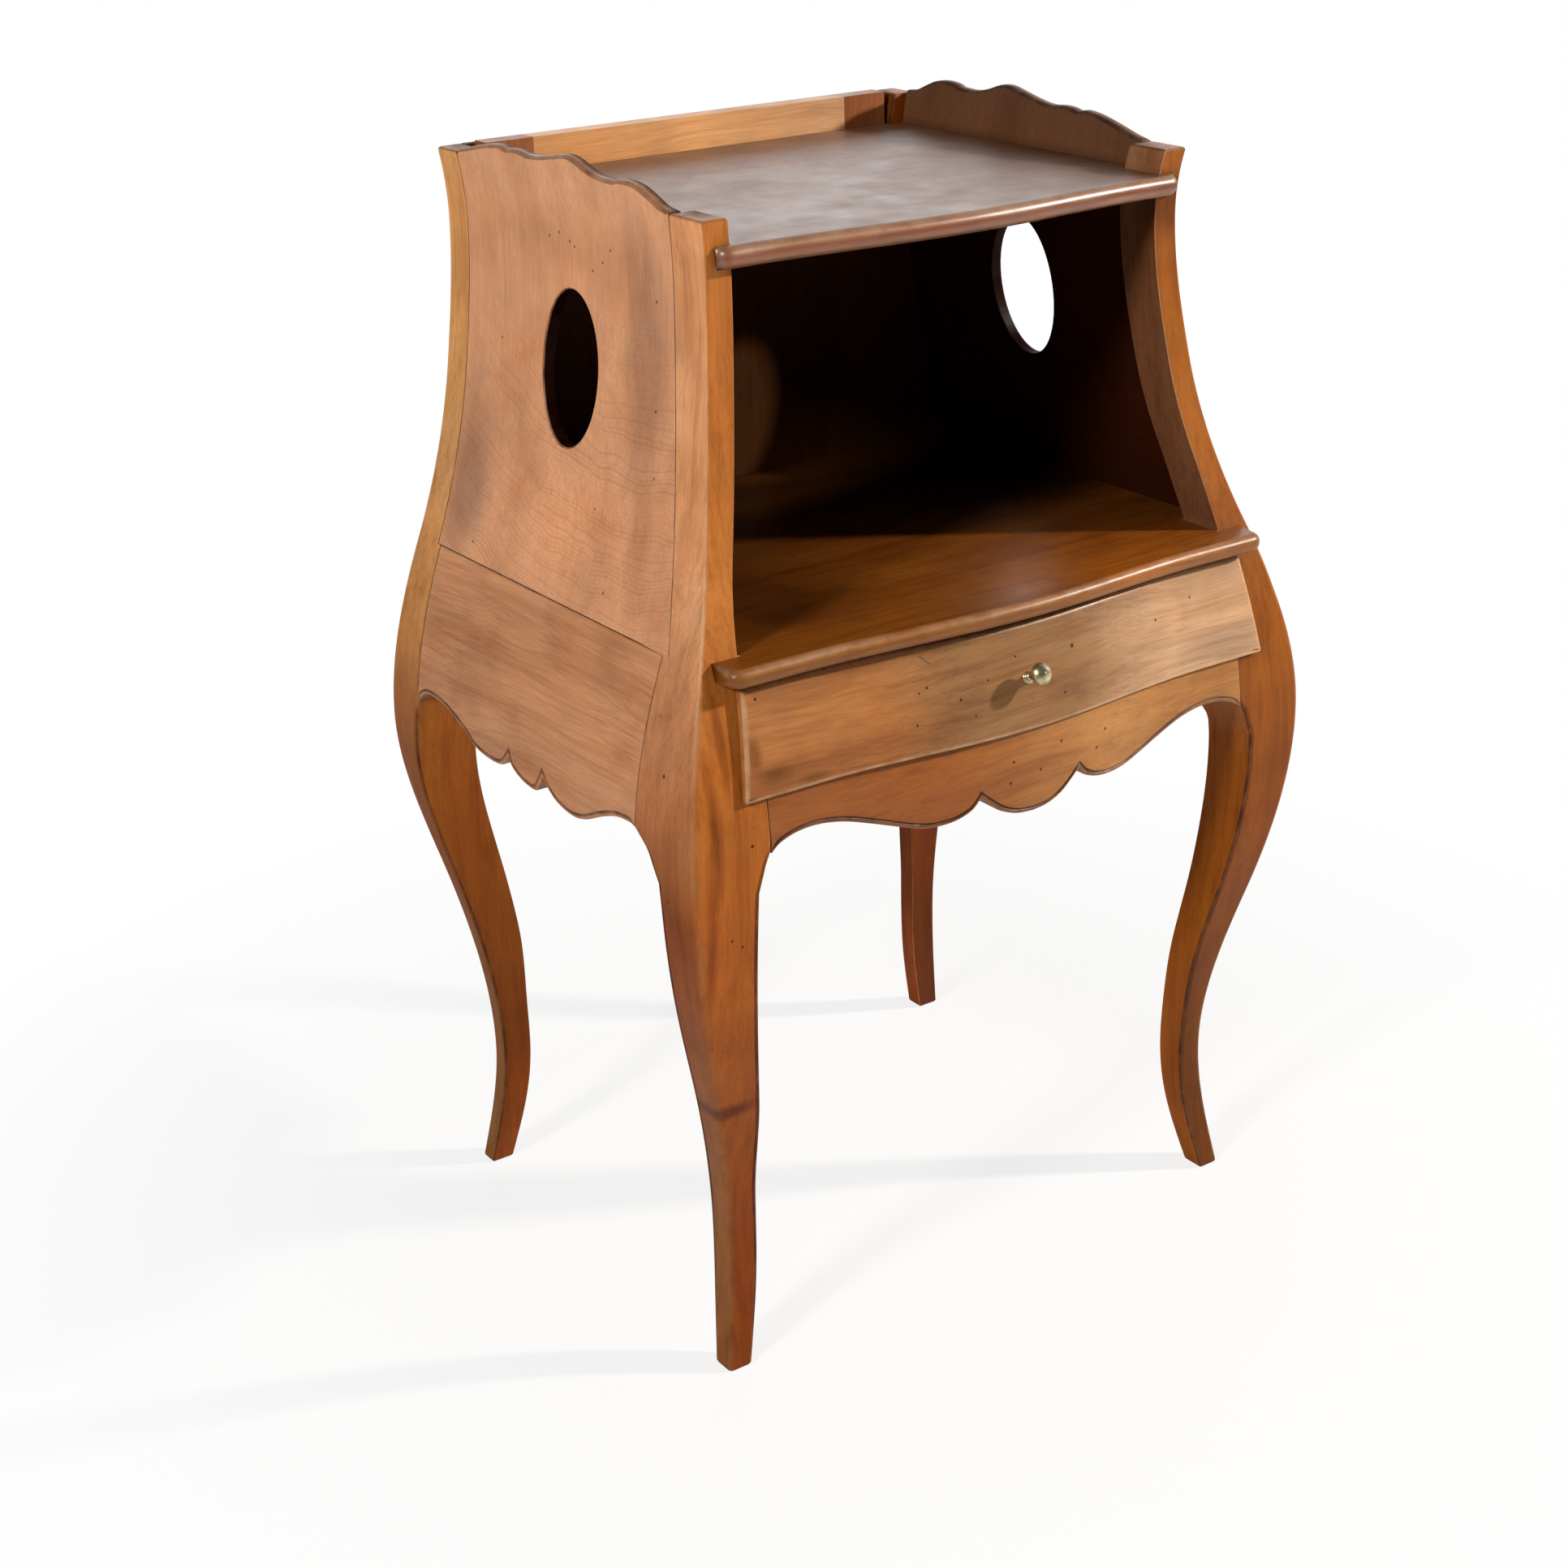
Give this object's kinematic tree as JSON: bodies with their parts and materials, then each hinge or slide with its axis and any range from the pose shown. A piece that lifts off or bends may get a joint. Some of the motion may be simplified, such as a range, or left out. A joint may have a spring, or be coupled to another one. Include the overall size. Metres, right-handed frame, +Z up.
{
  "type": "bedside table",
  "caption": "Small bombe side table on curved legs, with a drawer, an open compartment with oval side openings, and a framed mirror that slides up out of the back.",
  "frame": {"origin": "middle of the overall box in X and Y, on the floor under the feet", "axes": "+X to the right when seen from the front, +Y backward (the drawer opens toward -Y), +Z up; the mirror slides up along +Z"},
  "size_m": [0.494, 0.4094, 0.7616],
  "materials": {
    "frame_wood": "waxed",
    "side_wood": "waxed",
    "board_wood": "waxed",
    "drawer_wood": "waxed",
    "inner_wood": "raw",
    "mirror_wood": "waxed",
    "mirror_glass": "polished",
    "brass": "polished",
    "steel": "dull"
  },
  "bodies": {
    "case": {"front_left_post": "frame_wood", "front_right_post": "frame_wood", "rear_left_post": "frame_wood", "rear_right_post": "frame_wood", "left_panel": "side_wood", "right_panel": "side_wood", "left_side_rail": "side_wood", "right_side_rail": "side_wood", "table_top": "board_wood", "shelf": "board_wood", "front_apron": "frame_wood", "rear_rail": "inner_wood", "inner_back": "inner_wood", "outer_back": "inner_wood", "left_mirror_guide": "inner_wood", "right_mirror_guide": "inner_wood", "left_drawer_runner": "inner_wood", "right_drawer_runner": "inner_wood", "left_drawer_guide": "inner_wood", "right_drawer_guide": "inner_wood", "joint_pegs": "frame_wood", "back_screws": "steel"},
    "drawer": {"drawer_front": "drawer_wood", "drawer_left_side": "inner_wood", "drawer_right_side": "inner_wood", "drawer_back": "inner_wood", "drawer_bottom": "inner_wood", "knob": "brass", "knob_screw": "steel"},
    "mirror": {"mirror_left_stile": "mirror_wood", "mirror_right_stile": "mirror_wood", "mirror_top_rail": "mirror_wood", "mirror_bottom_rail": "mirror_wood", "mirror_glass": "mirror_glass", "mirror_backboard": "inner_wood", "backboard_beads": "inner_wood", "mirror_stop_blocks": "inner_wood", "mirror_springs": "steel"}
  },
  "joints": [
    {"name": "drawer_slide", "type": "slide", "parent": "case", "child": "drawer", "axis": [0, -1, 0], "range_m": [0, 0.235]},
    {"name": "mirror_slide", "type": "slide", "parent": "case", "child": "mirror", "axis": [0, 0, 1], "range_m": [0, 0.21]}
  ]
}
